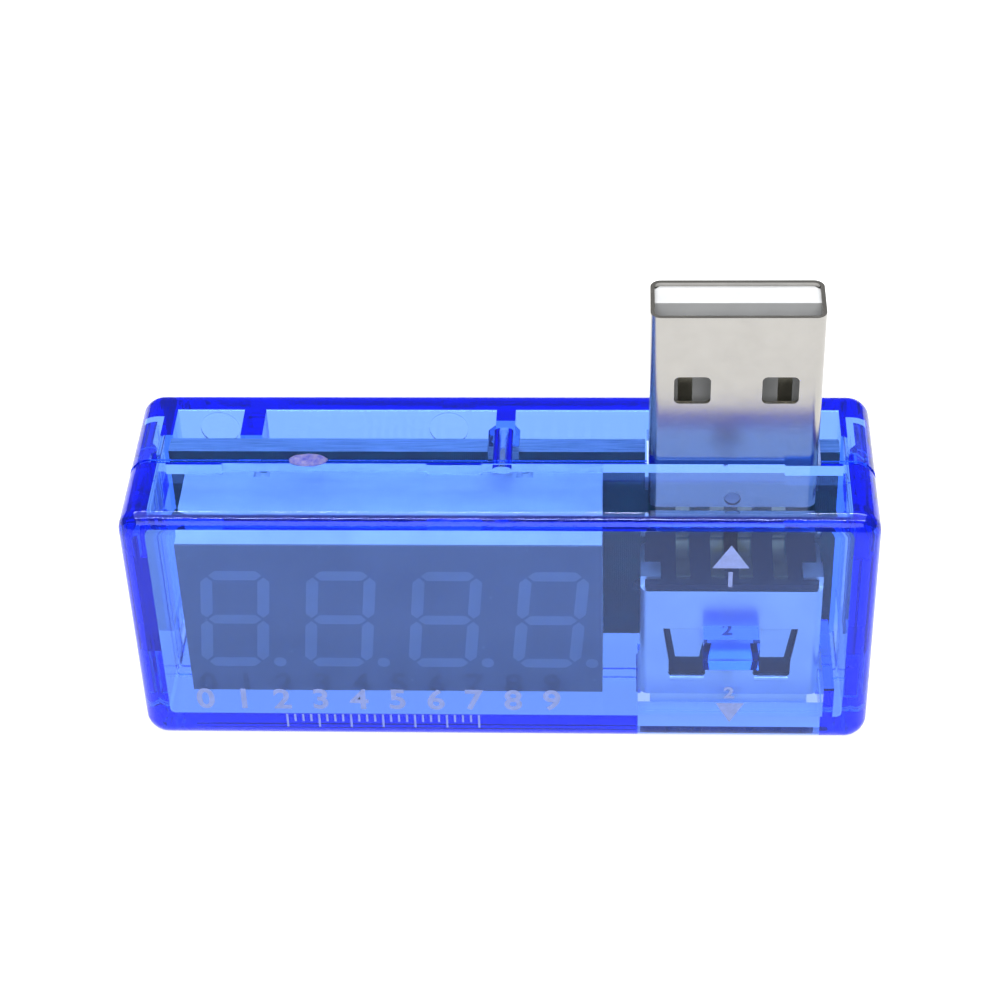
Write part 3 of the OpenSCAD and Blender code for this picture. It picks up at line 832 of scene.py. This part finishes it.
class POWERMETER_OT_case(bpy.types.Operator):
    """Gives the covers their clear plastic and adds the gate mark on the seam."""

    bl_idname = "powermeter.case"
    bl_label = "Case"

    def execute(self, context):
        case = context.scene.meter_case
        dress(clear_plastic(case), "front_cover", "back_cover")
        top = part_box("front_cover")[1][2]
        mark_x = -13.7 * MM
        mark_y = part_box("circuit_board")[0][1] - 2.4 * MM
        half_w, half_d = 1.4 * MM, 0.72 * MM
        crown, ripple, sunk = 0.05 * MM, 0.012 * MM, 0.04 * MM
        rings, sides = 5, 28
        bm = bmesh.new()
        middle = bm.verts.new((mark_x, mark_y, top + crown))
        last = None
        for i in range(1, rings + 1):
            share = i / rings
            loop = []
            for k in range(sides):
                turn = 2 * math.pi * k / sides
                uneven = 1 + 0.02 * math.sin(5 * turn + 1) + 0.02 * math.sin(9 * turn)
                lift = crown * (1 - share**3) + ripple * math.sin(5 * turn + 9 * share)
                x = mark_x + half_w * share * uneven * math.cos(turn)
                y = mark_y + half_d * share * uneven * math.sin(turn)
                loop.append(bm.verts.new((x, y, top + lift)))
            for k in range(sides):
                j = (k + 1) % sides
                if last is None:
                    bm.faces.new((middle, loop[k], loop[j]))
                else:
                    bm.faces.new((last[k], loop[k], loop[j], last[j]))
            last = loop
        low = [bm.verts.new((v.co.x, v.co.y, top - sunk)) for v in last]
        for k in range(sides):
            j = (k + 1) % sides
            bm.faces.new((last[k], low[k], low[j], last[j]))
        bm.faces.new(list(reversed(low)))
        mark = piece("gate_mark", bm, frosted_plastic())
        for face in mark.data.polygons:
            face.use_smooth = True
        return {"FINISHED"}


class POWERMETER_OT_print(bpy.types.Operator):
    """Prints the arrows, the port numbers and a plain scale on the front."""

    bl_idname = "powermeter.print"
    bl_label = "Printed marks"

    def execute(self, context):
        case = context.scene.meter_case
        gap = 0.002 * MM
        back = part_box("front_cover")[0][1] - gap
        front = back - case.ink_t
        port, _ = centre(*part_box("plug_shell"))
        bm = bmesh.new()

        def arrow(x, tip, base, half):
            prism(bm, [(x - half, base), (x + half, base), (x, tip)], front, back)

        # An arrow and a number at each port: 1 at the plug, 2 at the socket
        arrow(port - 0.3 * MM, tip=19.15 * MM, base=17.05 * MM, half=1.3 * MM)
        arrow(port, tip=2.05 * MM, base=4.0 * MM, half=1.05 * MM)
        glyph(bm, "1", 1.9 * MM, port - 0.3 * MM, 16.0 * MM, front, back, 0.06 * MM)
        glyph(bm, "2", 1.5 * MM, port - 0.1 * MM, 5.05 * MM, front, back, 0.05 * MM)

        # A row of numerals under the display
        numerals, size, row = 10, 2.7 * MM, 4.15 * MM
        first, last = -21.9 * MM, 3.6 * MM
        for i in range(numerals):
            x = first + (last - first) * i / (numerals - 1)
            glyph(bm, str(i), size, x, row, front, back, 0.07 * MM)

        # A row of ticks under the numerals, with every fourth one long
        ticks, tick_w, row = 25, 0.16 * MM, 2.6 * MM
        first, last = -16.0 * MM, -1.8 * MM
        for i in range(ticks):
            x = first + (last - first) * i / (ticks - 1)
            tall = 1.3 * MM if i % 4 == 0 else 0.75 * MM
            prism(bm, rectangle(x, row - tall / 2, tick_w, tall), front, back)
        piece("front_print", bm, printing_ink(case))
        return {"FINISHED"}


class POWERMETER_OT_display(bpy.types.Operator):
    """Finishes the display module."""

    bl_idname = "powermeter.display"
    bl_label = "Display"

    def execute(self, context):
        display = context.scene.meter_display
        dress(moulded_plastic("Display white", (0.93, 0.94, 0.94), 0.42), "display_housing")
        dress(moulded_plastic("Display face", tuple(display.face), 0.5, dusty=0.10), "display_mask")
        resin = moulded_plastic(
            "Segment resin", tuple(display.segment), 0.38, grain=5000.0, depth=0.01 * MM
        )
        dress(resin, "display_segments", "display_dots")
        return {"FINISHED"}


class POWERMETER_OT_plug(bpy.types.Operator):
    """Finishes the plug's shell and insulator."""

    bl_idname = "powermeter.plug"
    bl_label = "Plug"

    def execute(self, context):
        metal = context.scene.meter_metal
        nickel = plated_metal(
            "Plug nickel", tuple(metal.plug), 0.2, lines=0.5, mottle=520.0, dulled=0.95
        )
        dress(nickel, "plug_shell")
        dress(moulded_plastic("Plug white", (0.47, 0.48, 0.49), 0.5), "plug_insulator")
        return {"FINISHED"}


class POWERMETER_OT_socket(bpy.types.Operator):
    """Finishes the socket, its springs and both ports' contacts."""

    bl_idname = "powermeter.socket"
    bl_label = "Socket"

    def execute(self, context):
        metal = context.scene.meter_metal
        corners = ("front_left", "front_right", "back_left", "back_right")
        nickel = plated_metal(
            "Socket nickel", tuple(metal.socket), 0.3, lines=0.3, mottle=300.0, dulled=0.93
        )
        dress(nickel, "socket_shell", *[f"shell_spring_{corner}" for corner in corners])
        dress(moulded_plastic("Socket black", (0.02, 0.02, 0.022), 0.4), "socket_insulator")
        gold = plated_metal("Contact gold", (0.83, 0.66, 0.36), 0.2, lines=0.4, rub_and_highlight_width=0.04 * MM)
        for kind in ("socket_contact", "contact_spring"):
            dress(gold, *[f"{kind}_{i}" for i in range(1, 5)])
        tails = plated_metal("Contact tin", (0.62, 0.60, 0.50), 0.42, lines=0.6, rub_and_highlight_width=0.04 * MM)
        dress(tails, *[f"plug_contact_{i}" for i in range(1, 5)])
        return {"FINISHED"}


class POWERMETER_OT_board(bpy.types.Operator):
    """Finishes the board and adds its pads, tracks and white marks."""

    bl_idname = "powermeter.board"
    bl_label = "Board"

    def execute(self, context):
        board = context.scene.meter_board
        dress(board_laminate(board), "circuit_board")
        context.view_layer.update()
        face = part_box("circuit_board")[1][1]
        sunk = face - 0.01 * MM
        proud = face + board.relief
        piece("board_pads", solder_pads(sunk, proud), board_tin())
        tracks = copper_tracks(board.track_w, sunk, face + board.relief * 0.6)
        piece("board_tracks", tracks, covered_copper(board))
        piece("board_marks", white_marks(sunk, proud), marking_paint())
        return {"FINISHED"}


class POWERMETER_OT_parts(bpy.types.Operator):
    """Finishes the chips, the small parts, the leads and the solder."""

    bl_idname = "powermeter.parts"
    bl_label = "Electronic parts"

    def execute(self, context):
        epoxy = moulded_plastic(
            "Chip epoxy", (0.035, 0.035, 0.04), 0.55, grain=16000.0, depth=0.03 * MM
        )
        dress(epoxy, "controller_body", "amplifier_body", "regulator_body")
        glaze = moulded_plastic("Resistor glaze", (0.03, 0.03, 0.035), 0.25)
        dress(glaze, "shunt_resistor", "chip_resistors")
        dress(moulded_plastic("Capacitor ceramic", (0.50, 0.36, 0.22), 0.5), "chip_capacitors")
        tin = plated_metal("Tin plate", (0.76, 0.76, 0.75), 0.3, lines=0.2, rub_and_highlight_width=0.04 * MM)
        dress(
            tin,
            "display_pins",
            "controller_leads",
            "amplifier_leads",
            "regulator_leads",
            "shunt_terminals",
            "chip_terminals",
        )
        dress(plated_metal("Solder", (0.80, 0.80, 0.81), 0.16, lines=0.0, mottle=1500.0), "solder_joints")
        return {"FINISHED"}


def softbox(name, spot, aim, size, power):
    """A rectangular lamp that stands at a spot and points at another."""
    lamp = bpy.data.lights.new(name, "AREA")
    lamp.shape = "RECTANGLE"
    lamp.size, lamp.size_y = size
    lamp.energy = power
    obj = bpy.data.objects.new(name, lamp)
    obj.location = spot
    obj.rotation_euler = (Vector(aim) - Vector(spot)).to_track_quat("-Z", "Y").to_euler()
    bpy.context.scene.collection.objects.link(obj)


class POWERMETER_OT_stage(bpy.types.Operator):
    """Sets the pale floor, the soft light and the camera."""

    bl_idname = "powermeter.stage"
    bl_label = "Stage"

    def execute(self, context):
        stage = context.scene.meter_stage
        scene = context.scene
        scene.view_settings.view_transform = "Standard"
        scene.cycles.max_bounces = 32
        scene.cycles.transmission_bounces = 32
        scene.cycles.glossy_bounces = 12
        scene.cycles.diffuse_bounces = 6
        bm = bmesh.new()
        reach = 1.2
        for corner in ((-reach, -reach), (reach, -reach), (reach, reach), (-reach, reach)):
            bm.verts.new((*corner, 0.0))
        bm.faces.new(bm.verts)
        mesh = bpy.data.meshes.new("floor")
        bm.to_mesh(mesh)
        bm.free()
        floor = bpy.data.objects.new("floor", mesh)
        floor.location.z = -0.02 * MM
        scene.collection.objects.link(floor)
        floor.data.materials.append(floor_paper(stage))

        world = bpy.data.worlds.new("Plain white surroundings")
        scene.world = world
        world.use_nodes = True
        light = world.node_tree.nodes["Background"]
        light.inputs["Color"].default_value = (1.0, 1.0, 1.0, 1.0)
        path = add(world.node_tree, "ShaderNodeLightPath").outputs
        seen = maths(world.node_tree, "MAXIMUM", path["Is Camera Ray"], path["Is Transmission Ray"])
        strength = spread(world.node_tree, seen, 0.0, 1.0, stage.daylight, 1.0)
        world.node_tree.links.new(strength, light.inputs["Strength"])

        middle = (0.0, 0.0, 0.012)
        softbox("overhead_box", (0.0, 0.03, 0.45), middle, (0.60, 0.34), 0.8)
        softbox("front_box", (0.0, -0.40, 0.35), middle, (0.50, 0.25), 1.4)
        softbox("front_strip", (0.0, -0.105, 0.325), middle, (0.50, 0.012), 1.0)
        softbox("back_strip", (0.0, 0.15, 0.307), middle, (0.50, 0.012), 1.0)

        view = bpy.data.cameras.new("camera")
        view.lens = stage.lens
        camera = bpy.data.objects.new("camera", view)
        camera.location = (8.77 * MM, -145.0 * MM, 136.9 * MM)
        camera.rotation_euler = [math.radians(v) for v in (50.43, 1.60, 2.19)]
        scene.collection.objects.link(camera)
        scene.camera = camera
        return {"FINISHED"}


OPERATORS = (
    POWERMETER_OT_stage,
    POWERMETER_OT_case,
    POWERMETER_OT_print,
    POWERMETER_OT_display,
    POWERMETER_OT_plug,
    POWERMETER_OT_socket,
    POWERMETER_OT_board,
    POWERMETER_OT_parts,
)


class POWERMETER_PT_panel(bpy.types.Panel):
    """Lists the meter's pieces and settings."""

    bl_idname = "POWERMETER_PT_panel"
    bl_label = "Power meter"
    bl_space_type = "VIEW_3D"
    bl_region_type = "UI"
    bl_category = "Power meter"

    def draw(self, context):
        for operator in OPERATORS:
            self.layout.operator(operator.bl_idname)
        for name, group in SETTINGS.items():
            box = self.layout.box()
            box.label(text=group.__doc__.rstrip("."))
            for prop in group.__annotations__:
                box.prop(getattr(context.scene, name), prop)


def register():
    """Registers the settings, the operators and the panel."""
    for name, group in SETTINGS.items():
        bpy.utils.register_class(group)
        setattr(bpy.types.Scene, name, PointerProperty(type=group))
    for operator in OPERATORS:
        bpy.utils.register_class(operator)
    bpy.utils.register_class(POWERMETER_PT_panel)


def unregister():
    """Takes everything out again, last in first out."""
    bpy.utils.unregister_class(POWERMETER_PT_panel)
    for operator in reversed(OPERATORS):
        bpy.utils.unregister_class(operator)
    for name, group in reversed(SETTINGS.items()):
        delattr(bpy.types.Scene, name)
        bpy.utils.unregister_class(group)


def main():
    """Builds every piece in order."""
    register()
    bpy.ops.powermeter.stage()
    bpy.ops.powermeter.case()
    bpy.ops.powermeter.print()
    bpy.ops.powermeter.display()
    bpy.ops.powermeter.plug()
    bpy.ops.powermeter.socket()
    bpy.ops.powermeter.board()
    bpy.ops.powermeter.parts()


if __name__ == "__main__":
    main()
